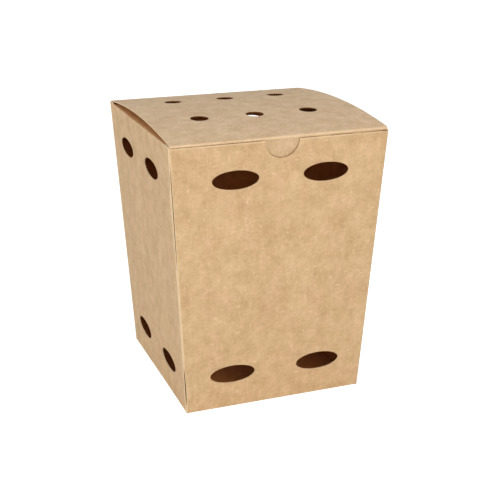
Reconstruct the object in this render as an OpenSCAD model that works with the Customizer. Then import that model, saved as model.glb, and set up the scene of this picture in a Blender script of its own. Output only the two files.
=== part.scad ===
// Fries box: a tapered carton folded from kraft board, with air vents in its four walls and
// a domed lid that turns on the crease along the back wall and tucks in behind the front wall.
// Millimetres. X runs to the right, Y to the back, Z up. The origin is the middle of the base.

/* [Box] */
// Width at the top fold, left to right
top_w = 132; // [120:0.5:150]
// Depth at the top fold, front to back
top_d = 129.5; // [120:0.5:150]
// Width at the base
bottom_w = 112; // [100:0.5:119]
// Depth at the base
bottom_d = 114.5; // [100:0.5:119]
// Height from the base to the top fold
box_h = 165; // [140:1:220]
// Thickness of the board
board = 0.5; // [0.4:0.05:0.8]
// Inner radius of a fold
fold_in_r = 0.3; // [0.1:0.05:0.6]

/* [Wall vents] */
// Width of an oval vent
vent_w = 28; // [16:0.5:36]
// Height of an oval vent, along the wall
vent_h = 11.2; // [6:0.2:16]
// Distance between the two vents of a row in the front and back walls
vent_pitch = 54.8; // [44:0.2:60]
// Distance between the two vents of a row in the side walls
side_vent_pitch = 53; // [44:0.2:60]
// Distance from the base to the lower row
vent_low = 21.8; // [16:0.2:40]
// Distance from the top fold to the upper row
vent_drop = 22.5; // [21:0.1:40]
// The same distance on the back wall
back_vent_drop = 21.6; // [21:0.1:40]
// Distance that the side walls' upper row lies back from their lower row
side_vent_set = 2.4; // [0:0.2:6]

/* [Front wall] */
// Distance from the top fold down to the front wall's cut edge
front_drop = 1.8; // [1.4:0.1:4]
// Radius of the thumb notch in that edge
notch_r = 10.4; // [6:0.2:12.4]
// Distance from the corner to the front wall's seam edge, at the top
seam_top = 0.3; // [0.1:0.1:1.5]
// Distance from the corner to the front wall's seam edge, at the base
seam_base = 0.2; // [0.1:0.1:1.5]

/* [Lid] */
// Height of the lid's dome over the crease
dome_rise = 4.5; // [2:0.1:8]
// Height of the lid's front fold over the crease
front_rise = 0.4; // [0:0.1:0.8]
// Clearance between the lid's side edge and the wall
lid_side_gap = 0.25; // [0.2:0.05:1]
// Radius of the crease that the lid turns on
crease_r = 0.35; // [0.3:0.01:0.5]
// Clearance between that crease and the back wall
crease_gap = 0.06; // [0.04:0.01:0.1]
// Diameter of an air hole
hole_d = 10.7; // [5:0.1:16]
// Distance between the air holes of a row
hole_pitch = 34.2; // [20:0.2:48]
// Distance from the front fold to the front row of air holes
hole_front = 42.6; // [20:0.2:50]
// Distance from the crease to the back row of air holes
hole_back = 33.4; // [20:0.2:50]

/* [Tuck flap] */
// Length of the flap, along the board
tuck_len = 15; // [13.5:0.5:18]
// Distance between the flap's end and the wall beside it
tuck_side_gap = 2.5; // [1.5:0.1:8]
// Corner radius of the flap
tuck_corner_r = 8; // [2:0.5:12]
// Clearance between the flap's fold and the front wall
tuck_gap = 0.35; // [0.1:0.05:0.5]
// Angle that the flap leans in from the front wall, degrees
tuck_lean_angle = 1.8; // [1.6:0.1:4]

/* [Inner flaps] */
// Length of a dust flap
dust_len = 25; // [10:0.5:30]
// Depth of a dust flap's face below the top fold
dust_drop = 1.1; // [0.3:0.05:2]
// Distance between a dust flap's end and the box's corner
dust_setback = 8; // [7:0.5:16]
// Distance that a dust flap's end slants in over its length
dust_slant = 5; // [0:0.5:12]
// Corner radius of a dust flap
dust_corner_r = 9; // [1:0.5:9.5]
// Length of the three glued flaps inside the base
base_flap_len = 24; // [10:0.5:40]
// Distance from the walls to the base panel's cut edges
base_edge = 1.2; // [1:0.1:4]
// Width of the slit between the base flaps' folds and the walls' corners
base_slit = 0.15; // [0.1:0.05:0.4]
// Width of the glue flap behind the front wall
glue_w = 14; // [6:0.5:18]
// Distance between the glue flap and the tuck flap above it
glue_drop = 3; // [2:0.5:10]

/* [Hidden] */
kraft = [0.80, 0.65, 0.47];

// A crease stands this far proud of the flat board on both sides
proud = 0.01;
crease = board + 2 * proud;
fold_r = fold_in_r + crease;
// Glued boards are pressed this far into each other
press = 0.02;
// Length of wall that a crease's straight end covers
lap = 0.6;
// Margin that a cutting body stands past what it cuts
over = 1;
// Steps of a quarter turn in a fold, and of half the lid's dome
fold_steps = 6;
dome_steps = 16;
// Steps of a vent's outline, and of a rounded corner
oval_steps = 72;
corner_steps = 10;

// Slope of the front and back walls and of the side walls from upright
slope_fb = atan((top_d - bottom_d) / 2 / box_h);
slope_lr = atan((top_w - bottom_w) / 2 / box_h);

// Half the outer width and depth at a height
function half_w(z) = (bottom_w + (top_w - bottom_w) * z / box_h) / 2;
function half_d(z) = (bottom_d + (top_d - bottom_d) * z / box_h) / 2;

// The four walls as [turn about Z, half the box's size across the wall at the base, slope,
// distance between vents, the upper row's drop, that row's shift along the wall]
FRONT = [0, bottom_d / 2, slope_fb, vent_pitch, vent_drop, 0];
RIGHT = [90, bottom_w / 2, slope_lr, side_vent_pitch, vent_drop, side_vent_set];
BACK = [180, bottom_d / 2, slope_fb, vent_pitch, back_vent_drop, 0];
LEFT = [270, bottom_w / 2, slope_lr, side_vent_pitch, vent_drop, -side_vent_set];

// Lid: the crease's axis, and the front fold's radius on the middle of the board
axis_y = top_d / 2 - crease_r;
axis_z = box_h - crease_r;
roll_r = fold_in_r + board / 2;
front_y = -top_d / 2 + board + tuck_gap;
roll_y = front_y + board / 2 + roll_r;
function dome_half(tilt) = (axis_y - roll_y + roll_r * sin(tilt)) / 2;
dome_tilt = 2 * atan(dome_rise / dome_half(2 * atan(dome_rise / dome_half(0))));
dome_mid_y = axis_y - dome_half(dome_tilt);
dome_r = dome_half(dome_tilt) / sin(dome_tilt);
dome_z = axis_z - dome_r * cos(dome_tilt);
roll_z = axis_z - roll_r * cos(dome_tilt);
// The lid is drawn with its two folds level, then set up by this angle at its front
lid_set = atan(front_rise / (axis_y - roll_y));
lean = slope_fb + tuck_lean_angle + lid_set;
lid_w = top_w - 2 * (board + lid_side_gap);

// Heights: where the base flaps' folds end and the wall sheet ends, and where the side walls'
// cuts begin
base_cut = board + 1.2 * fold_r;
sheet_top = axis_z - crease_r - crease_gap;
side_cut = box_h - dust_drop - 1.4 * fold_r;
glue_top = box_h - front_drop - tuck_len - glue_drop;

// Points of an arc about c, from angle a to angle b in n steps
function arc(c, r, a, b, n) = [for (i = [0:n]) let (t = a + (b - a) * i / n) c + r * [cos(t), sin(t)]];

// A convex outline, counter-clockwise, with each corner rounded by its own radius
function normal(a, b) = let (d = (b - a) / norm(b - a)) [d[1], -d[0]];
function rounded(p, r) = [
    for (i = [0:len(p) - 1])
        let (
            n1 = normal(p[(i + len(p) - 1) % len(p)], p[i]),
            n2 = normal(p[i], p[(i + 1) % len(p)]),
            c = p[i] - r[i] * (n1 + n2) / (1 + n1 * n2),
            a = atan2(n1[1], n1[0]),
            turn = (atan2(n2[1], n2[0]) - a + 360) % 360
        )
        each r[i] > 0 ? arc(c, r[i], a, a + turn, corner_steps) : [p[i]]
];

// The board's section at a fold, from where the wall's face meets the flap's face: the flap
// runs along +X, the wall goes down and leans in by slope. The straight end is tail long
function fold_section(slope, reach, tail) =
    let (
        t = fold_r / tan((90 - slope) / 2),
        c = [t, -fold_r],
        foot = (t + tail) * [sin(slope), -cos(slope)]
    )
    concat(
        [foot],
        arc(c, fold_r, 180 + slope, 90, fold_steps),
        [[reach, 0], [reach, -crease]],
        arc(c, fold_r - crease, 90, 180 + slope, fold_steps),
        [foot + crease * [cos(slope), sin(slope)]]
    );

// Plan of the wall sheet at a height: one face of the board, offset in by inset. It starts at
// the seam, runs round the four folds and ends just past the front left corner
function sheet_face(z, inset) =
    let (
        w = half_w(z) - proud,
        d = half_d(z) - proud,
        r = fold_in_r + board,
        behind = board + 2 * proud + press,
        seam = seam_base + (seam_top - seam_base) * z / box_h
    )
    concat(
        [[-w + seam, -d + inset]],
        arc([w - r, -d + r], r - inset, -90, 0, fold_steps),
        arc([w - r, d - r], r - inset, 0, 90, fold_steps),
        arc([-w + r, d - r], r - inset, 90, 180, fold_steps),
        arc([-w + r, -d + behind + r], r - inset, 180, 270, fold_steps),
        [[-w + 2 * r, -d + behind + inset]]
    );
function at_height(face, z) = [for (p = face) [p[0], p[1], z]];

// Draws a section in Y and Z along X, by its middle
module along_x(length) {
    rotate([90, 0, 90]) linear_extrude(length, center = true) children();
}

// Lays out a wall: X along it, Y up its outer face from the base, Z out of it
module on_wall(wall) {
    rotate([0, 0, wall[0]]) translate([0, -wall[1], 0]) rotate([90 + wall[2], 0, 0]) children();
}

// Cuts whatever is drawn in 2D through a wall
module through_wall(wall) {
    on_wall(wall) translate([0, 0, -board - over]) linear_extrude(board + 2 * over) children();
}

module oval(w, h) {
    polygon([for (i = [0:oval_steps - 1]) let (t = 360 * i / oval_steps) [w / 2 * cos(t), h / 2 * sin(t)]]);
}

// The two rows of vents of one wall
module wall_vents(wall) {
    for (side = [-1, 1], row = [[vent_low, 0], [box_h - wall[4], wall[5]]])
        through_wall(wall) translate([side * wall[3] / 2 + row[1], row[0] / cos(wall[2])])
            oval(vent_w, vent_h);
}

// Half round notch in the front wall's cut edge
module thumb_notch() {
    through_wall(FRONT) translate([0, (box_h - front_drop) / cos(slope_fb)]) circle(notch_r, $fn = 72);
}

// The four walls as one lofted sheet, open at the seam
module wall_sheet() {
    faces = [for (z = [0, sheet_top], inset = [0, board]) at_height(sheet_face(z, inset), z)];
    n = len(faces[0]);
    polyhedron(
        points = [for (f = faces) each f],
        faces = concat(
            [for (i = [0:n - 2]) each [
                [i, i + 2 * n, i + 2 * n + 1, i + 1],
                [i + n, i + n + 1, i + 3 * n + 1, i + 3 * n],
                [i + 2 * n, i + 3 * n, i + 3 * n + 1, i + 2 * n + 1],
                [i, i + 1, i + n + 1, i + n]
            ]],
            [[n, 3 * n, 2 * n, 0], [n - 1, 3 * n - 1, 4 * n - 1, 2 * n - 1]]
        )
    );
}

// Trims the sheet's top: the front wall's cut edge, the side walls' fold lines, and the back
// wall's edge, which slopes away so that the lid can turn right over
module sheet_cuts() {
    for (cut = [[half_w(box_h), crease + proud], [(lid_w + lid_side_gap) / 2, 2 * (crease + press)]])
        on_wall(FRONT) translate([-cut[0], (box_h - front_drop) / cos(slope_fb), -cut[1]])
            cube([cut[0] + half_w(box_h) - fold_r, 2 * front_drop, cut[1] + over]);
    for (wall = [LEFT, RIGHT])
        on_wall(wall) translate([dust_setback - half_d(box_h), side_cut / cos(slope_lr), -over - board])
            cube([2 * half_d(box_h) - 2 * dust_setback, 4 * fold_r, board + 2 * over]);
    translate([0, half_d(sheet_top) - board, sheet_top]) along_x(top_w + over)
        polygon([[0, 0], [over, over], [2 * over, -2 * over], [1.5 * over, -1.5 * over]]);
}

// Cuts the sheet's foot away between the corners, where the base flaps fold in, and also at the
// front wall's seam edge
module base_cuts() {
    for (cut = [[FRONT, half_w(0)], [RIGHT, half_d(0)], [BACK, half_w(0)], [LEFT, half_d(0)]]) {
        half = cut[1] - base_edge + base_slit;
        on_wall(cut[0]) translate([-half, -over, -board - over])
            cube([2 * half, over + base_cut / cos(cut[0][2]), board + 2 * over]);
    }
    on_wall(FRONT) translate([-half_w(0), -over, -crease])
        cube([half_w(0), over + base_cut / cos(slope_fb), crease + over]);
}

// A flap folded in at the top of a side wall, with slanted ends and rounded corners
module dust_flap(wall) {
    z = box_h - dust_drop;
    half = half_d(box_h) - dust_setback - proud;
    rotate([0, 0, wall[0]]) translate([0, -half_w(z), 0]) intersection() {
        translate([0, 0, z]) along_x(2 * half) polygon(fold_section(slope_lr, dust_len, lap + fold_r));
        translate([0, 0, z / 2]) linear_extrude(box_h) polygon(rounded(
            [[-half, -over], [half, -over], [half, fold_r], [half - dust_slant, dust_len],
                [dust_slant - half, dust_len], [-half, fold_r]],
            [0, 0, 0, dust_corner_r, dust_corner_r, 0]
        ));
    }
}

// A flap folded in at a wall's lower edge, with its face at height z and ends cut at slant
module base_flap(wall, z, half, reach, slant) {
    rotate([0, 0, wall[0]]) translate([0, -(wall[1] + z * tan(wall[2])), z]) intersection() {
        mirror([0, 0, 1]) along_x(2 * half) polygon(fold_section(-wall[2], reach, lap + fold_r));
        translate([0, 0, -over]) linear_extrude(box_h)
            polygon([[-half, -over], [half, -over], [half, fold_r], [half - slant, reach],
                [slant - half, reach], [-half, fold_r]]);
    }
}

// The flap behind the front wall that closes the sheet, glued to it
module glue_flap() {
    low = base_cut + base_flap_len / 4;
    inner = half_w(0) - proud - fold_in_r - board;
    rise = (half_w(glue_top) - half_w(0));
    on_wall(FRONT) translate([0, 0, -crease - press - board])
        linear_extrude(board + press + proud + press)
            polygon([
                [-inner - rise * low / glue_top, low],
                [glue_w - inner, low + glue_w / 2],
                [glue_w - inner - rise * (glue_top - glue_w) / glue_top, glue_top - glue_w],
                [-inner - rise, glue_top]
            ]);
}

module carton() color(kraft) {
    difference() {
        union() {
            difference() {
                wall_sheet();
                sheet_cuts();
                base_cuts();
            }
            dust_flap(LEFT);
            dust_flap(RIGHT);
            glue_flap();
            base_flap(FRONT, 0, half_w(0) - base_edge, bottom_d - base_edge, 0);
            for (flap = [[LEFT, half_d(0)], [RIGHT, half_d(0)], [BACK, half_w(0)]])
                base_flap(flap[0], crease - press, flap[1] - base_edge, base_flap_len,
                    base_flap_len - fold_r);
        }
        for (wall = [FRONT, RIGHT, BACK, LEFT])
            wall_vents(wall);
        thumb_notch();
    }
}

// Section of the lid: the dome, the fold along its front and the tuck flap, offset from the
// middle of the board by off
function lid_face(off) =
    let (
        out = [-cos(lean), -sin(lean)],
        down = [sin(lean), -cos(lean)],
        flap = [roll_y, roll_z] + (roll_r + off) * out
    )
    concat(
        arc([dome_mid_y, dome_z], dome_r + off, 90 - dome_tilt, 90 + dome_tilt, 2 * dome_steps),
        arc([roll_y, roll_z], roll_r + off, 90 + dome_tilt, 180 + lean, fold_steps),
        [flap + tuck_len * down]
    );
function reversed(p) = [for (i = [len(p) - 1:-1:0]) p[i]];

// Front view of the lid: the full width above, and the narrower tuck flap with round corners
module lid_front_view() {
    flap_half = half_w(box_h - tuck_len) - board - tuck_side_gap;
    low = roll_z - tuck_len * cos(lean) - roll_r * sin(lean) - board / 2;
    neck = roll_z - roll_r;
    translate([-lid_w / 2, neck]) square([lid_w, 2 * dome_rise + fold_r + over]);
    polygon(rounded(
        [[-flap_half, low], [flap_half, low], [flap_half, neck + over], [-flap_half, neck + over]],
        [tuck_corner_r, tuck_corner_r, 0, 0]
    ));
}

// An air hole, square to the dome at its place y
module air_hole(x, y) {
    tilt = asin((y - dome_mid_y) / dome_r);
    translate([x, dome_mid_y, dome_z]) rotate([-tilt, 0, 0]) translate([0, 0, dome_r])
        cylinder(h = 4 * board, d = hole_d, center = true, $fn = 64);
}

// The lid with its folds level
module level_lid() {
    difference() {
        union() {
            intersection() {
                along_x(lid_w) polygon(concat(lid_face(board / 2), reversed(lid_face(-board / 2))));
                rotate([90, 0, 0]) linear_extrude(2 * top_d, center = true) lid_front_view();
            }
            translate([0, axis_y, axis_z]) rotate([0, 90, 0])
                cylinder(h = lid_w, r = crease_r, center = true, $fn = 32);
        }
        for (x = [-hole_pitch, 0, hole_pitch], y = [front_y + hole_front, axis_y - hole_back])
            air_hole(x, y);
    }
}

module lid() color(kraft) {
    translate([0, axis_y, axis_z]) rotate([-lid_set, 0, 0]) translate([0, -axis_y, -axis_z]) level_lid();
}

carton();
lid();
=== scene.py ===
"""Looks of the fries box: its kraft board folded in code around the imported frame.

The carton and the lid are each built as the outer face of a flat sheet that is cut, folded and
then given the board's thickness, so that cut edges, folds and the inside are real geometry.
"""

import math

import bmesh
import bpy
import numpy as np
from mathutils import Matrix, Vector
from mathutils.geometry import delaunay_2d_cdt

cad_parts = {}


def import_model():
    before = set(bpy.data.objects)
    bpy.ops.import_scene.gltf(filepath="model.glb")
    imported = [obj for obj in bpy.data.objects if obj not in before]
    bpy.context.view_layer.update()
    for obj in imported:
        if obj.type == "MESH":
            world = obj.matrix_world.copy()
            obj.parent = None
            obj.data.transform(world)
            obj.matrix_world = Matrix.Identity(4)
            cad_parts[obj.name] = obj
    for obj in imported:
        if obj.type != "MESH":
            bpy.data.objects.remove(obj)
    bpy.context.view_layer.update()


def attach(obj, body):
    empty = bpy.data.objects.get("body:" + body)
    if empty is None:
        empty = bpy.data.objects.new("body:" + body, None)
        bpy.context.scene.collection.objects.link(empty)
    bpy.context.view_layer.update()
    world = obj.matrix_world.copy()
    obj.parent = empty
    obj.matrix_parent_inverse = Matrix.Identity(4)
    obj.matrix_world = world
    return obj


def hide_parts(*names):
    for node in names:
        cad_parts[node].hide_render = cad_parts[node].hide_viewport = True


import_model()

# Millimetres are used for the box, and scaled to metres as each piece is made
MM = 0.001

# The box, as in the frame. The radii are those of the folds' outer faces
TOP_W, TOP_D = 132.0, 129.5
BOTTOM_W, BOTTOM_D = 112.0, 114.5
BOX_H = 165.0
BOARD = 0.5
FOLD_R, BASE_FOLD_R = 0.8, 0.55
FOLD_STEPS = 8

# Wall vents: size, distance from the wall's middle, and heights. The side walls' upper ones lie
# SIDE_VENT_SET further back than the lower ones
VENT_W, VENT_H = 28.0, 11.2
VENT_X, SIDE_VENT_X, SIDE_VENT_SET = 27.4, 26.5, 2.4
VENT_LOW, VENT_HIGH, BACK_VENT_HIGH = 21.8, 142.5, 143.2
VENT_STEPS = 72

# Front wall: cut edge and thumb notch
FRONT_DROP = 1.8
FRONT_TOP = BOX_H - FRONT_DROP
NOTCH_R = 10.4
NOTCH_STEPS = 32

# Seam at the front wall's left edge: its width at the top and at the base, and the glue flap
SEAM_TOP, SEAM_BASE = 0.3, 0.2
SEAM_AIR = 0.04
BEHIND = BOARD + SEAM_AIR
GLUE_W = 14.0
GLUE_LOW, GLUE_TOP = 7.5, 145.2
# Where the seam gapes: from and to these heights, wider and deeper by this much
GAPES = ((4.0, 30.0, 0.48, 0.5), (90.0, 157.0, 0.24, 0.4))
# How much deeper the seam is where its painted shade is darkest
GAPE_DARK = 0.35

# Wall sheet: where it starts and ends, and the top of the back wall and of the front right corner
SHEET_LOW, SHEET_TOP = 0.03, 164.24
BACK_TOP = 163.9
# Slits beside the base folds, and how far a base fold's end keeps from the seam and from a slit
SLIT, SLIT_TOP = 0.15, 1.5
BASE_FOLD_IN, BASE_FOLD_GAP = 0.02, 0.1
# Side walls' tabs beside the crease: their top, and its corner as distances inward and down
TAB_TOP = 164.85
TAB_CORNER = ((0.1, 0.3), (0.4, 0.0))
# Distance from the back wall's face within which its upper edge slopes
BEVEL_REACH = 0.1

# Flaps inside the top and the base
DUST_DROP, DUST_SETBACK = 1.1, 8.0
DUST_Z = BOX_H - DUST_DROP
DUST_HALF = TOP_D / 2 - DUST_SETBACK
DUST_LEN, DUST_SLANT, DUST_CORNER_R = 25.0, 5.0, 9.0
BASE_EDGE = 1.2
BASE_FLAP_LEN = 24.0
FLAP_CORNER_STEPS = 10

# Lid: crease axis, dome and front fold
CREASE_R = 0.35
CREASE_SEGMENTS = 24
AXIS_Y, AXIS_Z = TOP_D / 2 - CREASE_R, BOX_H - CREASE_R
DOME_RISE = 4.3
LID_SIDE_GAP, TUCK_GAP = 0.25, 0.35
LID_HALF = TOP_W / 2 - BOARD - LID_SIDE_GAP
LID_FRONT_Y = -TOP_D / 2 + BOARD + TUCK_GAP
ROLL_R = FOLD_R - BOARD / 2
ROLL_Y = LID_FRONT_Y + FOLD_R

# Tuck flap, which is as wide as the lid for TUCK_NECK below the fold, and the lid's air holes
TUCK_LEN, TUCK_HALF, TUCK_CORNER_R = 15.0, 61.5, 8.0
TUCK_NECK = 1.3
HOLE_R = 5.35
HOLE_PITCH = 34.2
HOLE_FRONT, HOLE_BACK = 42.6, 33.4
HOLE_Y = (LID_FRONT_Y + HOLE_FRONT, AXIS_Y - HOLE_BACK)
HOLE_STEPS = 48

# Spacing of the points inside a panel, and of those along a fold
STEP = 3.0
# Points closer than this are one point as the sheet is welded, and heights closer than this match
WELD, NEAR = 0.002, 0.01
CDT_EPSILON = 1e-6
# Triangles smaller than this, in square millimetres, lie along a panel's straight edge
SLIVER = 1e-4
# Edges that turn more than this stay sharp
SHARP = math.radians(35)

# How far a wall swells between its folds, and how that comes and goes: by this share, over these
# lengths along and up the wall
SWELL = {"front": 0.35, "right": 0.25, "back": 0.3, "left": 0.2}
RIPPLES = ((0.25, 17, 29), (0.2, -31, 13))

# Wear of the flaps' folds, where that of the others is 1
FLAP_WEAR = 0.15
# Wear of the lid's front fold beside the tuck flap, which fades out towards the dome
LID_WEAR = 0.75
# Distance from a fold over which its wear fades out
WEAR_REACH = 0.8

SLOPE_FB = math.atan((TOP_D - BOTTOM_D) / 2 / BOX_H)
SLOPE_LR = math.atan((TOP_W - BOTTOM_W) / 2 / BOX_H)
# The lid is drawn level, then set up about its crease by this angle; the twist adds to it at
# the right and takes from it at the left
FRONT_RISE = 0.4
LID_SET = math.atan(FRONT_RISE / (AXIS_Y - ROLL_Y))
LID_TWIST = LID_SET
# How far the tuck flap leans back from upright: a little more than the front wall
TUCK_LEAN = math.radians(1.8)
LEAN = SLOPE_FB + TUCK_LEAN + LID_SET


def half_w(z):
    """Half the outer width at height z."""
    return (BOTTOM_W + (TOP_W - BOTTOM_W) * z / BOX_H) / 2


def half_d(z):
    """Half the outer depth at height z."""
    return (BOTTOM_D + (TOP_D - BOTTOM_D) * z / BOX_H) / 2


def gape(z):
    """How much wider and deeper the seam is at height z."""
    wider = deeper = 0.0
    for low, high, width, depth in GAPES:
        if low < z < high:
            part = math.sqrt(math.sin(math.pi * (z - low) / (high - low)))
            wider, deeper = wider + width * part, deeper + depth * part
    return wider, deeper


def seam(z):
    """Distance from the corner to the front wall's seam edge."""
    return SEAM_BASE + (SEAM_TOP - SEAM_BASE) * z / BOX_H + gape(z)[0]


def behind(z):
    """Depth of the left wall's fold behind the front wall's face."""
    return BEHIND + gape(z)[1]


def seam_shade(z):
    """How dark the shade painted inside the seam is, from 0 to 1."""
    return min(1.0, gape(z)[1] / GAPE_DARK)


def spread(low, high):
    """Evenly spaced values from low to high, about STEP apart."""
    n = max(1, round(abs(high - low) / STEP))
    return [low + (high - low) * i / n for i in range(n + 1)]


def arc(centre, r, a, b, n):
    """Points from angle a to angle b, in radians, about a centre."""
    turns = [a + (b - a) * i / n for i in range(n + 1)]
    return [(centre[0] + r * math.cos(t), centre[1] + r * math.sin(t)) for t in turns]


def ellipse(x, y, a, b, n):
    """n points round an ellipse with half axes a and b."""
    turns = [math.tau * i / n for i in range(n)]
    return [(x + a * math.cos(t), y + b * math.sin(t)) for t in turns]


def inside(points, loop):
    """Which of the points lie inside a closed loop."""
    x, y = points[:, 0], points[:, 1]
    result = np.zeros(len(points), bool)
    for (x0, y0), (x1, y1) in zip(loop, loop[1:] + loop[:1]):
        if y0 == y1:
            continue
        crosses = (y0 > y) != (y1 > y)
        result ^= crosses & (x < x0 + (y - y0) * (x1 - x0) / (y1 - y0))
    return result


def distance(points, loop):
    """Distance from each of the points to a closed loop."""
    best = np.full(len(points), np.inf)
    for p, q in zip(loop, loop[1:] + loop[:1]):
        p, d = np.array(p), np.array(q) - np.array(p)
        t = np.clip((points - p) @ d / max(d @ d, 1e-12), 0, 1)
        best = np.minimum(best, np.linalg.norm(points - p - t[:, None] * d, axis=1))
    return best


def areas(triangles):
    a, b = triangles[:, 1] - triangles[:, 0], triangles[:, 2] - triangles[:, 0]
    return np.abs(a[:, 0] * b[:, 1] - a[:, 1] * b[:, 0]) / 2


def grid(outline, holes):
    """Points spread evenly inside an outline, clear of its edge and of its holes."""
    half = STEP / 2
    xs, ys = [p[0] for p in outline], [p[1] for p in outline]
    points = np.array([
        (x + (half if row % 2 else 0), y)
        for row, y in enumerate(np.arange(min(ys) + half, max(ys), STEP * math.sqrt(0.75)))
        for x in np.arange(min(xs) + half, max(xs), STEP)
    ]).reshape(-1, 2)
    free = inside(points, outline)
    for loop in [outline] + holes:
        free &= distance(points, loop) > half
    for hole in holes:
        free &= ~inside(points, hole)
    return points[free]


def beside(fold, outline):
    """A row of points inside the outline where a fold's wear has faded out."""
    a, b = np.array(fold[0]), np.array(fold[1])
    length = np.linalg.norm(b - a)
    n = max(1, round(length / WEAR_REACH))
    side = np.array([a[1] - b[1], b[0] - a[0]]) / length * WEAR_REACH
    row = np.array([a + (b - a) * (i + 0.5) / n for i in range(n)])
    rows = np.vstack([row + side, row - side])
    return rows[inside(rows, outline) & (distance(rows, outline) > WEAR_REACH * 0.6)]


def fill(outline, holes, points):
    """Triangles over an outline and round its holes, which use the points given."""
    corners, edges = [], []
    for loop in [outline] + holes:
        first = len(corners)
        corners += loop
        edges += [(first + i, first + (i + 1) % len(loop)) for i in range(len(loop))]
    corners = [Vector(p) for p in corners] + [Vector(tuple(p)) for p in points]
    flat, _, faces, _, _, _ = delaunay_2d_cdt(corners, edges, [], 0, CDT_EPSILON)
    flat = np.array([tuple(p) for p in flat])
    triangles = flat[np.array(faces)]
    centres = triangles.mean(1)
    keep = inside(centres, outline) & (areas(triangles) > SLIVER)
    for hole in holes:
        keep &= ~inside(centres, hole)
    return flat, [f for f, k in zip(faces, keep) if k]


# The sheet's materials, in their order on the object: its two faces, its cut edges round the
# outside and in the holes, and the outer face of the dust flaps, made more orange as painted bounce light
OUTER, INNER, EDGE, HOLE_EDGE, FLAP_PAINTED_BOUNCE = range(5)


class Sheet:
    """The outer face of a folded sheet, in millimetres, built panel by panel and welded."""

    def __init__(self):
        self.bm = bmesh.new()
        self.wear = self.bm.verts.layers.float.new("wear")
        self.hole = self.bm.verts.layers.int.new("hole")

    def add(self, points, faces, wear, holes=(), material=OUTER):
        """Adds faces on points of their own. holes numbers the points that lie on a hole's rim."""
        verts = [self.bm.verts.new(p) for p in points]
        for v, w in zip(verts, wear):
            v[self.wear] = w
        for i in holes:
            verts[i][self.hole] = 1
        for f in faces:
            self.bm.faces.new([verts[i] for i in f]).material_index = material

    def panel(self, outline, holes, place, folds, shade=None, material=OUTER):
        """Fills a flat outline, seen from outside and counter-clockwise, and places it.

        folds holds the lines, as pairs of points, along which the panel's wear shows, and
        shade tells how dark the painted shade at a point is. Painted shade is kept as wear below nought.
        """
        rows = [grid(outline, holes)] + [beside(fold, outline) for fold in folds]
        flat, faces = fill(outline, holes, np.vstack(rows))
        wear = np.array([-shade(*p) if shade else 0.0 for p in flat])
        for fold in folds:
            wear = np.maximum(wear, 1 - distance(flat, list(fold)) / WEAR_REACH)
        used = sorted({i for f in faces for i in f})
        index = {old: new for new, old in enumerate(used)}
        faces = [[index[i] for i in f] for f in faces]
        rims = range(len(outline), len(outline) + sum(len(hole) for hole in holes))
        self.add([place(*flat[i]) for i in used], faces, [wear[i] for i in used],
                 [index[i] for i in rims if i in index], material)

    def strip(self, rows, wear=None):
        """Joins rows of points, each row seen from outside to the right of or above the last."""
        n = len(rows[0])
        faces = [
            (r * n + i, (r + 1) * n + i, (r + 1) * n + i + 1, r * n + i + 1)
            for r in range(len(rows) - 1) for i in range(n - 1)
        ]
        wear = wear or [[1.0] * n] * len(rows)
        self.add([p for row in rows for p in row], faces, [w for row in wear for w in row])

    def solid(self, name, materials, rise=None):
        """Welds the sheet, gives it the board's thickness and returns it as an object.

        rise tells how much higher the inner face is at a point.
        """
        bm = self.bm
        bmesh.ops.remove_doubles(bm, verts=bm.verts, dist=WELD)
        bm.normal_update()
        outer = list(bm.faces)
        rims = [next(iter(e.link_loops)) for e in bm.edges if e.is_boundary]
        rims = [(loop.vert, loop.link_loop_next.vert) for loop in rims]
        inner = {}
        for v in list(bm.verts):
            up = rise(v.co) if rise else 0.0
            inner[v] = bm.verts.new(v.co - v.normal * BOARD + Vector((0, 0, up)))
            inner[v][self.wear] = max(0.0, v[self.wear])
        for face in outer:
            bm.faces.new([inner[v] for v in reversed(face.verts)]).material_index = INNER
        for a, b in rims:
            material = HOLE_EDGE if a[self.hole] and b[self.hole] else EDGE
            bm.faces.new((b, a, inner[a], inner[b])).material_index = material
        bm.verts.layers.int.remove(self.hole)
        bm.normal_update()
        for face in bm.faces:
            face.smooth = True
        for edge in bm.edges:
            edge.smooth = len(edge.link_faces) == 2 and edge.calc_face_angle() < SHARP
        return to_object(bm, name, materials)


def to_object(bm, name, materials):
    """Turns a bmesh in millimetres into an object in metres."""
    bm.transform(Matrix.Scale(MM, 4))
    mesh = bpy.data.meshes.new(name)
    bm.to_mesh(mesh)
    bm.free()
    obj = bpy.data.objects.new(name, mesh)
    bpy.context.scene.collection.objects.link(obj)
    for material in materials:
        mesh.materials.append(material)
    return obj


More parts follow.
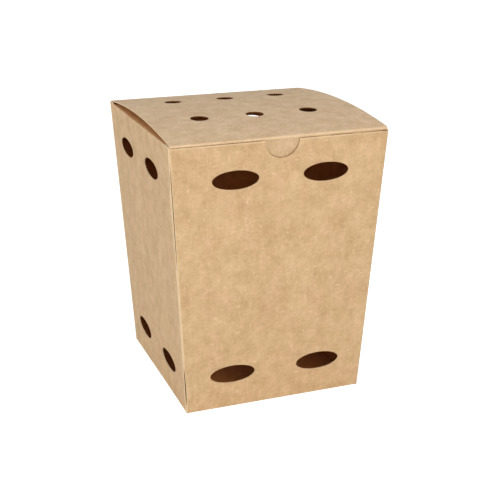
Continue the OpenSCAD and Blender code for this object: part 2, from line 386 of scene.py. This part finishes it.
class Wall:
    """One wall's plane: x runs along it, s up its outer face from the base, n out of it."""

    def __init__(self, name, quarter, half_base, slope, vents, low_x, high_x):
        self.name, self.slope, self.half_base, self.vents = name, slope, half_base, vents
        self.turn = Matrix.Rotation(quarter * math.pi / 2, 3, "Z")
        self.low_x, self.high_x = low_x, high_x

    def s(self, z):
        """How far up the wall's slope height z is."""
        return z / math.cos(self.slope)

    def swell(self, x, s):
        """How far the wall stands out of its plane."""
        z = s * math.cos(self.slope)
        low, high = self.low_x(z), self.high_x(z)
        across = math.sin(math.pi * min(1, max(0, (x - low) / (high - low))))
        upward = math.sin(math.pi * min(1, max(0, (z - SHEET_LOW) / (FRONT_TOP - SHEET_LOW))))
        ripple = 1 + sum(share * math.sin(x / along + s / up) for share, along, up in RIPPLES)
        return SWELL[self.name] * across * upward * ripple

    def place(self, x, s, n=0.0):
        n += self.swell(x, s)
        y = -self.half_base - s * math.sin(self.slope) - n * math.cos(self.slope)
        return self.turn @ Vector((x, y, s * math.cos(self.slope) - n * math.sin(self.slope)))

    def fold(self, level, up):
        """The fold at the wall's top (up = 1) or foot (up = -1) for a flap at height level.

        Returns its section, as (inward, height) pairs from the wall to the flap, the wall's s
        where it starts, the edge's distance from the middle and the run from edge to flap.
        """
        slope = self.slope * up
        r = FOLD_R if up > 0 else BASE_FOLD_R
        run = r / math.tan((math.pi / 2 - slope) / 2)
        section = arc((run, -r), r, math.pi + slope, math.pi / 2, FOLD_STEPS)
        edge = self.half_base + level * math.tan(self.slope)
        section = [(-edge + u, level + up * v) for u, v in section]
        return section, self.s(level) - up * run, edge, run

    def row(self, xs, y, z):
        return [self.turn @ Vector((x, y, z)) for x in xs]


FRONT = Wall("front", 0, BOTTOM_D / 2, SLOPE_FB, (VENT_X, VENT_HIGH, 0),
             lambda z: seam(z) - half_w(z), lambda z: half_w(z) - FOLD_R)
RIGHT = Wall("right", 1, BOTTOM_W / 2, SLOPE_LR, (SIDE_VENT_X, VENT_HIGH, SIDE_VENT_SET),
             lambda z: FOLD_R - half_d(z), lambda z: half_d(z) - FOLD_R)
BACK = Wall("back", 2, BOTTOM_D / 2, SLOPE_FB, (VENT_X, BACK_VENT_HIGH, 0),
            lambda z: FOLD_R - half_w(z), lambda z: half_w(z) - FOLD_R)
LEFT = Wall("left", 3, BOTTOM_W / 2, SLOPE_LR, (SIDE_VENT_X, VENT_HIGH, -SIDE_VENT_SET),
            lambda z: FOLD_R - half_d(z), lambda z: half_d(z) - FOLD_R - behind(z))

HEIGHTS = [SHEET_LOW] + spread(SLIT_TOP, FRONT_TOP) + [BACK_TOP, SHEET_TOP]


def vents(wall):
    """The outlines of a wall's four vents."""
    x, high, shift = wall.vents
    return [
        ellipse(side * x + along, wall.s(z), VENT_W / 2, VENT_H / 2, VENT_STEPS)
        for side in (-1, 1) for z, along in ((VENT_LOW, 0), (high, shift))
    ]


def toe(wall, x, side):
    """The slit between a base fold's end at x and the wall's foot at the corner."""
    low, high = wall.s(SHEET_LOW), wall.s(SLIT_TOP)
    return [(x, high), (x + side * SLIT, high), (x + side * SLIT, low)]


def wall_panel(sheet, wall, base_xs, base_s, top):
    """A wall between its folds. top gives the points of its upper edge, from right to left."""
    left = [(wall.low_x(z), wall.s(z)) for z in HEIGHTS if wall.s(z) < top[-1][1] - NEAR]
    right = [(wall.high_x(z), wall.s(z)) for z in HEIGHTS if wall.s(z) < top[0][1] - NEAR]
    foot = [(x, base_s) for x in base_xs]
    if wall is FRONT:
        left, start = left[1:], []
    else:
        start = toe(wall, base_xs[0], -1)[::-1]
    outline = left[:1] + start + foot + toe(wall, base_xs[-1], 1) + right + top + left[:0:-1]
    folds = []
    if wall is not FRONT:
        folds.append((right[0], top[0]))
    if wall is not RIGHT:
        folds.append((left[0], top[-1]))
    # The front wall's cut top edge beside the notch takes the folds' pale wear, as a painted highlight
    # along the edge
    if wall is FRONT:
        folds += [(top[0], (NOTCH_R, top[0][1])), ((-NOTCH_R, top[-1][1]), top[-1])]
    sheet.panel(outline, vents(wall), wall.place, folds)


def base_fold_xs(wall, half):
    """Where a wall's base fold runs. The front wall's starts at its seam edge."""
    low = wall.low_x(SLIT_TOP) + BASE_FOLD_IN if wall is FRONT else -half
    return spread(low, min(half, wall.high_x(0) - SLIT - BASE_FOLD_GAP))


def front_top():
    """The front wall's cut edge with its thumb notch, from right to left."""
    s = FRONT.s(FRONT_TOP)
    notch = arc((0, s), NOTCH_R, 0, -math.pi, NOTCH_STEPS)
    right = [(x, s) for x in spread(FRONT.high_x(FRONT_TOP), NOTCH_R)[:-1]]
    left = [(x, s) for x in spread(-NOTCH_R, FRONT.low_x(FRONT_TOP))[1:]]
    return right + notch + left


def tab(wall, side, back):
    """Top of a side wall's tab, from the corner to the dust flap. The back tab stands higher."""
    z = SHEET_TOP if back or wall is LEFT else BACK_TOP
    x = wall.high_x(z) if side > 0 else wall.low_x(z)
    points = [(x, wall.s(z))]
    if back:
        points += [(x - side * inward, wall.s(TAB_TOP) - down) for inward, down in TAB_CORNER]
    return points + [(side * DUST_HALF, points[-1][1])]


def side_top(wall, fold_s):
    """A side wall's upper edge: a tab at each corner, and the dust flap's fold between them."""
    fold = [(x, fold_s) for x in spread(DUST_HALF, -DUST_HALF)]
    return tab(wall, 1, wall is RIGHT) + fold + tab(wall, -1, wall is LEFT)[::-1]


def corner(sheet, heights, centre, a, b, wear=None):
    """The upright fold between two walls, as rows of points from one wall to the other."""
    rows = []
    for i in range(FOLD_STEPS + 1):
        t = a + (b - a) * i / FOLD_STEPS
        spoke = Vector((FOLD_R * math.cos(t), FOLD_R * math.sin(t), 0))
        rows.append([Vector((*centre(z), z)) + spoke for z in heights])
    sheet.strip(rows, wear)


def seam_wear_and_shade(heights):
    """Wear of the fold at the seam: pale at the left wall, and painted shade where it passes inside."""
    rows = []
    for i in range(FOLD_STEPS + 1):
        inward = min(1.0, max(0.0, i - 3) / 2)
        rows.append([1 - inward * (1 + seam_shade(z)) for z in heights])
    return rows


def corners(sheet):
    """The four upright folds. The front right one isn't worn, and the front left one is the seam."""
    quarter = math.pi / 2
    lower = [z for z in HEIGHTS if z < FRONT_TOP + NEAR]

    def front_right(z):
        return half_w(z) - FOLD_R, FOLD_R - half_d(z)

    def back_right(z):
        return half_w(z) - FOLD_R, half_d(z) - FOLD_R

    def back_left(z):
        return FOLD_R - half_w(z), half_d(z) - FOLD_R

    def front_left(z):
        return FOLD_R - half_w(z), FOLD_R + behind(z) - half_d(z)

    unworn = [[0.0] * (len(HEIGHTS) - 1)] * (FOLD_STEPS + 1)
    corner(sheet, HEIGHTS[:-1], front_right, -quarter, 0, unworn)
    corner(sheet, HEIGHTS, back_right, 0, quarter)
    corner(sheet, HEIGHTS, back_left, quarter, 2 * quarter)
    corner(sheet, lower, front_left, 2 * quarter, 3 * quarter, seam_wear_and_shade(lower))


def glue_flap(sheet):
    """The flap behind the front wall, carried on from the front left corner's fold, with painted shade on
    its outer face where the seam gapes.
    """
    heights = [z for z in HEIGHTS if SLIT_TOP - NEAR < z < FRONT_TOP + NEAR]
    left = [(FOLD_R - half_w(z), FRONT.s(z)) for z in heights]
    stub = 2 * FOLD_R
    right = [
        (out - half_w(z), FRONT.s(z)) for z, out in (
            (heights[0], stub), (GLUE_LOW, stub), (GLUE_LOW + GLUE_W / 2, GLUE_W),
            (GLUE_TOP - GLUE_W, GLUE_W), (GLUE_TOP, stub), (heights[-1], stub),
        )
    ]

    def height(s):
        return s * math.cos(FRONT.slope)

    def place(x, s):
        return FRONT.place(x, s, -behind(height(s)))

    outline = left[:1] + right + left[:0:-1]
    # Painted shade on the flap's outer face, as dark as the seam's
    sheet.panel(outline, [], place, [], lambda x, s: seam_shade(height(s)))


def flap(sheet, wall, level, up, xs, outline):
    """Folds a flap in from a wall. outline gives its points past the fold, seen from outside."""
    section, _, edge, run = wall.fold(level, up)
    rows = [wall.row(xs, y, z) for y, z in section]
    wear = [[FLAP_WEAR] * len(xs)] * len(rows)
    sheet.strip([row[::-1] for row in rows] if up > 0 else rows, wear)
    points = [(x, run) for x in xs] + outline
    if up < 0:
        points = [(x, -u) for x, u in points][::-1]

    def place(x, u):
        return wall.turn @ Vector((x, up * u - edge, level))

    # The dust flaps' outer face takes the more orange board: painted light bounced under the lid
    sheet.panel(points, [], place, [], material=FLAP_PAINTED_BOUNCE if up > 0 else OUTER)


def rounded_end(half, reach, r, slant):
    """The far end of a flap with round corners, from right to left."""
    tilt = math.atan(slant / reach)
    far = half - slant
    span = r * math.tan((math.pi / 2 - tilt) / 2)
    right = arc((far - span, reach - r), r, tilt, math.pi / 2, FLAP_CORNER_STEPS)
    return right + [(-x, u) for x, u in reversed(right)]


def carton(materials):
    """The carton's sheet: four walls, each with its base panel or flap, and what joins them."""
    sheet = Sheet()
    half_base_w = BOTTOM_W / 2 - BASE_EDGE
    half_base_d = BOTTOM_D / 2 - BASE_EDGE
    for wall, half, level, reach in (
        (FRONT, half_base_w, 0.0, BOTTOM_D - BASE_EDGE),
        (RIGHT, half_base_d, BOARD, BASE_FLAP_LEN),
        (BACK, half_base_w, BOARD, BASE_FLAP_LEN),
        (LEFT, half_base_d, BOARD, BASE_FLAP_LEN),
    ):
        xs = base_fold_xs(wall, half)
        _, foot_s, _, _ = wall.fold(level, -1)
        if wall is FRONT:
            top, slant = front_top(), 0.0
        elif wall is BACK:
            xs_top = spread(wall.high_x(BACK_TOP), wall.low_x(BACK_TOP))
            top, slant = [(x, wall.s(BACK_TOP)) for x in xs_top], BASE_FLAP_LEN
        else:
            top, slant = side_top(wall, wall.fold(DUST_Z, 1)[1]), BASE_FLAP_LEN
        wall_panel(sheet, wall, xs, foot_s, top)
        flap(sheet, wall, level, -1, xs, [(half - slant, reach), (slant - half, reach)])
    for wall in (LEFT, RIGHT):
        end = rounded_end(DUST_HALF, DUST_LEN, DUST_CORNER_R, DUST_SLANT)
        flap(sheet, wall, DUST_Z, 1, spread(-DUST_HALF, DUST_HALF), end)
    corners(sheet)
    glue_flap(sheet)
    return sheet.solid("carton_sheet", materials, back_bevel)


def back_bevel(p):
    """The back wall's upper edge slopes, so that the inside meets the crease."""
    on_edge = abs(p.z - BACK_TOP) < NEAR and p.y > half_d(BACK_TOP) - BEVEL_REACH
    return SHEET_TOP - BACK_TOP if on_edge else 0.0


def dome():
    """The lid's dome in the Y-Z plane: centre, outer radius and the tilt at its ends."""
    def half(tilt):
        return (AXIS_Y - ROLL_Y + ROLL_R * math.sin(tilt)) / 2

    tilt = 2 * math.atan(DOME_RISE / half(2 * math.atan(DOME_RISE / half(0))))
    r = half(tilt) / math.sin(tilt)
    return (AXIS_Y - half(tilt), AXIS_Z - r * math.cos(tilt)), r + BOARD / 2, tilt


def lid(materials):
    sheet = Sheet()
    centre, r, tilt = dome()
    length = 2 * tilt * r
    xs = spread(-LID_HALF, LID_HALF)

    def on_dome(x, q):
        t = math.pi / 2 + tilt - q / r
        return Vector((x, centre[0] + r * math.cos(t), centre[1] + r * math.sin(t)))

    def q_at(y):
        return (math.acos((centre[0] - y) / r) - (math.pi / 2 - tilt)) * r

    sides = spread(0, length)
    outline = [(x, 0) for x in xs] + [(LID_HALF, q) for q in sides[1:-1]]
    outline += [(x, length) for x in xs[::-1]] + [(-LID_HALF, q) for q in sides[-2:0:-1]]
    holes = [
        ellipse(x, q_at(y), HOLE_R, HOLE_R, HOLE_STEPS)
        for x in (-HOLE_PITCH, 0, HOLE_PITCH) for y in HOLE_Y
    ]
    sheet.panel(outline, holes, on_dome, [((-LID_HALF, length), (LID_HALF, length))])

    roll_z = AXIS_Z - ROLL_R * math.cos(tilt)
    section = arc((ROLL_Y, roll_z), FOLD_R, math.pi + LEAN, math.pi / 2 + tilt, FOLD_STEPS)
    wear = [[LID_WEAR * (1 - i / FOLD_STEPS)] * len(xs) for i in range(len(section))]
    sheet.strip([[Vector((x, y, z)) for x in xs[::-1]] for y, z in section], wear)
    start = section[0]

    def on_tuck(x, s):
        return Vector((x, start[0] - s * math.sin(LEAN), start[1] + s * math.cos(LEAN)))

    centre = (TUCK_HALF - TUCK_CORNER_R, TUCK_CORNER_R - TUCK_LEN)
    right = arc(centre, TUCK_CORNER_R, -math.pi / 2, 0, 10)
    right += [(TUCK_HALF, -TUCK_NECK), (LID_HALF, -TUCK_NECK)]
    left = [(-x, s) for x, s in reversed(right)]
    sheet.panel(left + right + [(x, 0) for x in xs[::-1]], [], on_tuck, [((-LID_HALF, 0), (LID_HALF, 0))])
    settle(sheet)
    return sheet.solid("lid_sheet", materials)


def settle(sheet):
    """Sets the level lid up at its front, more at the right than at the left."""
    for v in sheet.bm.verts:
        turn = LID_SET + LID_TWIST * v.co.x / LID_HALF
        y, z = v.co.y - AXIS_Y, v.co.z - AXIS_Z
        v.co.y = AXIS_Y + y * math.cos(turn) + z * math.sin(turn)
        v.co.z = AXIS_Z + z * math.cos(turn) - y * math.sin(turn)


def lid_crease(materials):
    """The round edge that the lid turns on."""
    bm = bmesh.new()
    turn = Matrix.Translation((0, AXIS_Y, AXIS_Z)) @ Matrix.Rotation(math.pi / 2, 4, "Y")
    bmesh.ops.create_cone(bm, cap_ends=True, segments=24, radius1=CREASE_R, radius2=CREASE_R,
                          depth=2 * LID_HALF, matrix=turn)
    for face in bm.faces:
        face.smooth = len(face.verts) == 4
    for edge in bm.edges:
        edge.smooth = edge.calc_face_angle() < SHARP
    bm.verts.layers.float.new("wear")
    return to_object(bm, "lid_crease", materials)


class Shader:
    """A material's node tree, with short calls for the nodes that the board needs."""

    def __init__(self, name):
        self.material = bpy.data.materials.new(name)
        self.material.use_nodes = True
        self.nodes = self.material.node_tree.nodes
        self.links = self.material.node_tree.links
        self.bsdf = self.nodes["Principled BSDF"]
        self.place = self.nodes.new("ShaderNodeTexCoord").outputs["Object"]

    def link(self, source, socket):
        if isinstance(source, (int, float, tuple)):
            socket.default_value = source
        else:
            self.links.new(source, socket)

    def noise(self, scale, detail=3.0, stretch=(1, 1, 1), turn=(0, 0, 0), roughness=0.55):
        place = self.place
        if stretch != (1, 1, 1) or turn != (0, 0, 0):
            mapping = self.nodes.new("ShaderNodeMapping")
            mapping.inputs["Scale"].default_value = stretch
            mapping.inputs["Rotation"].default_value = turn
            self.links.new(self.place, mapping.inputs["Vector"])
            place = mapping.outputs["Vector"]
        node = self.nodes.new("ShaderNodeTexNoise")
        self.links.new(place, node.inputs["Vector"])
        node.inputs["Scale"].default_value = scale
        node.inputs["Detail"].default_value = detail
        node.inputs["Roughness"].default_value = roughness
        return node.outputs["Fac"]

    def math(self, operation, a, b=0.0):
        node = self.nodes.new("ShaderNodeMath")
        node.operation = operation
        self.link(a, node.inputs[0])
        self.link(b, node.inputs[1])
        return node.outputs[0]

    def vector(self, operation, a, b=None):
        """Vector arithmetic. The length is a number, the rest are vectors."""
        node = self.nodes.new("ShaderNodeVectorMath")
        node.operation = operation
        self.link(a, node.inputs[0])
        if b is not None:
            self.link(b, node.inputs[1])
        return node.outputs["Value" if operation in ("LENGTH", "DOT_PRODUCT") else "Vector"]

    def ramp(self, value, low, high):
        """Stretches a value from low..high to 0..1."""
        node = self.nodes.new("ShaderNodeMapRange")
        self.link(value, node.inputs["Value"])
        node.inputs["From Min"].default_value = low
        node.inputs["From Max"].default_value = high
        return node.outputs["Result"]

    def mix(self, amount, a, b):
        node = self.nodes.new("ShaderNodeMix")
        node.data_type = "RGBA"
        self.link(amount, node.inputs["Factor"])
        self.link(a, node.inputs["A"])
        self.link(b, node.inputs["B"])
        return node.outputs["Result"]

    def attribute(self, name):
        node = self.nodes.new("ShaderNodeAttribute")
        node.attribute_name = name
        return node.outputs["Fac"]

    def bump(self, height, strength, depth):
        node = self.nodes.new("ShaderNodeBump")
        node.inputs["Strength"].default_value = strength
        node.inputs["Distance"].default_value = depth
        self.links.new(height, node.inputs["Height"])
        self.links.new(node.outputs["Normal"], self.bsdf.inputs["Normal"])


def linear(red, green, blue):
    """An sRGB colour, 0 to 255, as Blender's linear one."""
    values = [v / 255 for v in (red, green, blue)]
    return tuple(v / 12.92 if v <= 0.04045 else ((v + 0.055) / 1.055) ** 2.4 for v in values) + (1.0,)


def mouth_shade(s):
    """Painted shadow on the tuck flap, broken up, along the front wall's edge and round its notch."""
    place = s.vector("MULTIPLY", s.place, (1 / MM, 0.0, 1 / MM))
    place = s.vector("ADD", place, (0.0, 0.0, -FRONT_TOP))
    below = s.vector("DOT_PRODUCT", place, (0.0, 0.0, -1.0))
    round_notch = s.math("SUBTRACT", s.vector("LENGTH", place), NOTCH_R)
    near = s.math("ABSOLUTE", s.math("MINIMUM", below, round_notch))
    return s.math("MULTIPLY", s.ramp(near, 0.55, 0.2), s.ramp(s.noise(150, 2), 0.36, 0.5))


def kraft(name, dark, light, worn, hue, shade_at=None):
    """Kraft board: cloudy pulp, short fibres lying every way, rare dark specks, pale folds and painted
    shade.

    hue is how far the board's tint turns from warm to yellowish from place to place.
    """
    s = Shader(name)
    clouds = s.noise(120, 4, roughness=0.62)
    mottle = s.noise(620, 3, roughness=0.6)
    streaks = s.noise(260, 3, stretch=(1, 1, 0.16), roughness=0.6)
    fibre_a = s.noise(900, 2, stretch=(0.25, 1, 1), turn=(0.3, 0.5, 0.2))
    fibre_b = s.noise(900, 2, stretch=(1, 1, 0.22), turn=(0.5, -0.4, 0.6))
    fibres = s.math("MAXIMUM", fibre_a, fibre_b)
    shade = s.math("MULTIPLY", clouds, 0.42)
    for part, share in ((mottle, 0.24), (streaks, 0.11), (fibres, 0.23)):
        shade = s.math("ADD", shade, s.math("MULTIPLY", part, share))
    colour = s.mix(s.ramp(shade, 0.36, 0.66), dark, light)
    tint = s.ramp(s.noise(75, 3, stretch=(1, 1, 0.6), roughness=0.55), 0.3, 0.7)
    tint = s.mix(tint, (1 + hue / 2, 1 - hue, 1 + hue / 2, 1), (1 - hue / 2, 1 + hue, 1 - hue / 2, 1))
    colour = s.vector("MULTIPLY", colour, tint)
    speck = s.ramp(s.noise(1100, 1, roughness=0.3), 0.765, 0.80)
    colour = s.mix(s.math("MULTIPLY", speck, 0.35), colour, linear(120, 84, 50))
    fleck = s.ramp(s.math("MULTIPLY", fibres, s.ramp(s.noise(300, 1), 0.3, 0.6)), 0.62, 0.72)
    colour = s.mix(s.math("MULTIPLY", fleck, 0.45), colour, worn)
    # The wear attribute holds pale fold wear above nought and painted shade below it
    attribute = s.attribute("wear")
    wear = s.math("MULTIPLY", s.ramp(attribute, 0, 1), s.ramp(s.noise(70, 1), 0.1, 0.5))
    colour = s.mix(s.math("MULTIPLY", wear, 0.85), colour, worn)
    # Painted shade: the board turns dark brown where the wear attribute is below nought
    colour = s.mix(s.math("MULTIPLY", s.ramp(attribute, 0, -1), 0.95), colour, linear(76, 40, 14))
    # Painted shadow from shade_at, such as that of the front wall's edge on the tuck flap
    if shade_at:
        colour = s.mix(s.math("MULTIPLY", shade_at(s), 0.5), colour, linear(104, 70, 38))
    s.link(colour, s.bsdf.inputs["Base Color"])
    rough = s.math("ADD", 0.74, s.math("MULTIPLY", mottle, 0.2))
    s.link(rough, s.bsdf.inputs["Roughness"])
    s.bsdf.inputs["Specular IOR Level"].default_value = 0.25
    grain = s.math("ADD", fibres, s.math("MULTIPLY", s.noise(2600, 2), 0.6))
    s.bump(grain, 0.35, 0.00012)
    return s.material


def cut_edge(name, dark, light):
    """The board's cut edge: pulp in thin layers, between the dark and light colours given."""
    s = Shader(name)
    shade = s.math("MULTIPLY", s.noise(1500, 2), 0.6)
    shade = s.math("ADD", shade, s.math("MULTIPLY", s.noise(260, 2), 0.4))
    s.link(s.mix(s.ramp(shade, 0.38, 0.62), dark, light), s.bsdf.inputs["Base Color"])
    s.bsdf.inputs["Roughness"].default_value = 0.95
    s.bsdf.inputs["Specular IOR Level"].default_value = 0.15
    s.bump(s.noise(3200, 2), 0.4, 0.00008)
    return s.material


def plain(name, shown, seen_white):
    """A pale stage surface. seen_white is how much white the camera sees added to its light."""
    s = Shader(name)
    s.bsdf.inputs["Base Color"].default_value = shown
    s.bsdf.inputs["Roughness"].default_value = 1.0
    s.bsdf.inputs["Specular IOR Level"].default_value = 0.0
    glow = s.nodes.new("ShaderNodeEmission")
    path = s.nodes.new("ShaderNodeLightPath")
    seen = s.math("MAXIMUM", path.outputs["Is Camera Ray"], path.outputs["Is Glossy Ray"])
    s.link(s.math("MULTIPLY", seen, seen_white), glow.inputs["Strength"])
    both = s.nodes.new("ShaderNodeAddShader")
    s.links.new(s.bsdf.outputs[0], both.inputs[0])
    s.links.new(glow.outputs[0], both.inputs[1])
    s.links.new(both.outputs[0], s.nodes["Material Output"].inputs["Surface"])
    return s.material


def floor():
    bm = bmesh.new()
    bmesh.ops.create_grid(bm, x_segments=1, y_segments=1, size=6.0)
    mesh = bpy.data.meshes.new("floor")
    bm.to_mesh(mesh)
    bm.free()
    obj = bpy.data.objects.new("floor", mesh)
    obj.location.z = -0.0001
    bpy.context.scene.collection.objects.link(obj)
    mesh.materials.append(plain("floor_white", (0.8, 0.8, 0.8, 1.0), 0.7))


def aim(obj, target):
    direction = Vector(target) - obj.location
    obj.rotation_euler = direction.to_track_quat("-Z", "Y").to_euler()


def softbox(name, location, size, power, colour):
    light = bpy.data.lights.new(name, "AREA")
    light.shape = "SQUARE"
    light.size = size
    light.energy = power
    light.color = colour
    obj = bpy.data.objects.new(name, light)
    obj.location = location
    bpy.context.scene.collection.objects.link(obj)
    aim(obj, (0, 0, 0.08))


def lights():
    softbox("key", (-0.1, -1.4, 0.9), 0.9, 13.9, (1.0, 0.963, 0.881))
    softbox("fill", (-1.4, -0.3, 0.7), 1.0, 9.2, (0.925, 0.956, 1.0))
    softbox("top", (0.1, 0.3, 1.6), 1.2, 9.0, (0.56, 0.715, 1.0))


def world():
    """White to the camera, and an even, plain light for the rest."""
    scene_world = bpy.data.worlds.new("studio")
    bpy.context.scene.world = scene_world
    scene_world.use_nodes = True
    nodes, links = scene_world.node_tree.nodes, scene_world.node_tree.links
    back = nodes["Background"]
    back.inputs["Color"].default_value = (1.0, 1.0, 1.0, 1.0)
    path = nodes.new("ShaderNodeLightPath")
    seen = nodes.new("ShaderNodeMath")
    seen.operation = "MAXIMUM"
    links.new(path.outputs["Is Camera Ray"], seen.inputs[0])
    links.new(path.outputs["Is Transmission Ray"], seen.inputs[1])
    strength = nodes.new("ShaderNodeMapRange")
    strength.inputs["To Min"].default_value = 0.34
    strength.inputs["To Max"].default_value = 1.0
    links.new(seen.outputs[0], strength.inputs["Value"])
    links.new(strength.outputs["Result"], back.inputs["Strength"])


def camera():
    """The photograph's camera, fitted to the box's corners, vents and holes."""
    azimuth, elevation, roll = (math.radians(a) for a in (-20.990, 19.521, 0.263))
    target = Vector((5.680, 0.233, 76.288)) * MM
    back = Vector((math.sin(azimuth) * math.cos(elevation), -math.cos(azimuth) * math.cos(elevation),
                   math.sin(elevation)))
    data = bpy.data.cameras.new("camera")
    data.sensor_width = 36.0
    data.lens = 76.33
    data.clip_start, data.clip_end = 0.01, 50.0
    obj = bpy.data.objects.new("camera", data)
    obj.location = target + back * 674.52 * MM
    look = (-back).to_track_quat("-Z", "Y").to_matrix()
    obj.rotation_euler = (look @ Matrix.Rotation(roll, 3, "Z")).to_euler()
    bpy.context.scene.collection.objects.link(obj)
    bpy.context.scene.camera = obj


camera()
lights()
world()
floor()

pale = linear(244, 216, 176)
board_out = kraft("board_out", linear(193, 156, 113), linear(226, 192, 150), pale, 0.018)
# The inside: a darker, redder board than the outside; its darkness is partly painted shade inside the box
board_in = kraft("board_in", linear(180, 108, 52), linear(210, 136, 74), linear(222, 170, 115), 0.01)
# Dust flaps' outer face: the board made more orange, as painted light bounced between flap and lid
board_flap_painted_bounce = kraft("board_flap_painted_bounce", linear(198, 146, 90), linear(228, 178, 120), pale, 0.015)
# The lid: the board a little greyer, as painted cool light from above, and with painted shadow along the
# front wall's edge
board_lid = kraft("board_lid", linear(190, 156, 116), linear(222, 191, 153), pale, 0.012, mouth_shade)
board_cut = cut_edge("board_cut", linear(214, 178, 132), linear(244, 218, 178))
# Cut edges in the lid's holes: dark brown, as painted shade inside the holes
hole_cut_painted_shade = cut_edge("hole_cut_painted_shade", linear(112, 72, 40), linear(140, 96, 58))

carton_sheet = carton([board_out, board_in, board_cut, board_cut, board_flap_painted_bounce])
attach(carton_sheet, "carton")
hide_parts("carton")

lid_sheet = lid([board_lid, board_in, board_cut, hole_cut_painted_shade])
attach(lid_sheet, "lid")
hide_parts("lid")

crease = lid_crease([board_lid])
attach(crease, "lid")

bpy.context.scene.view_settings.view_transform = "Standard"
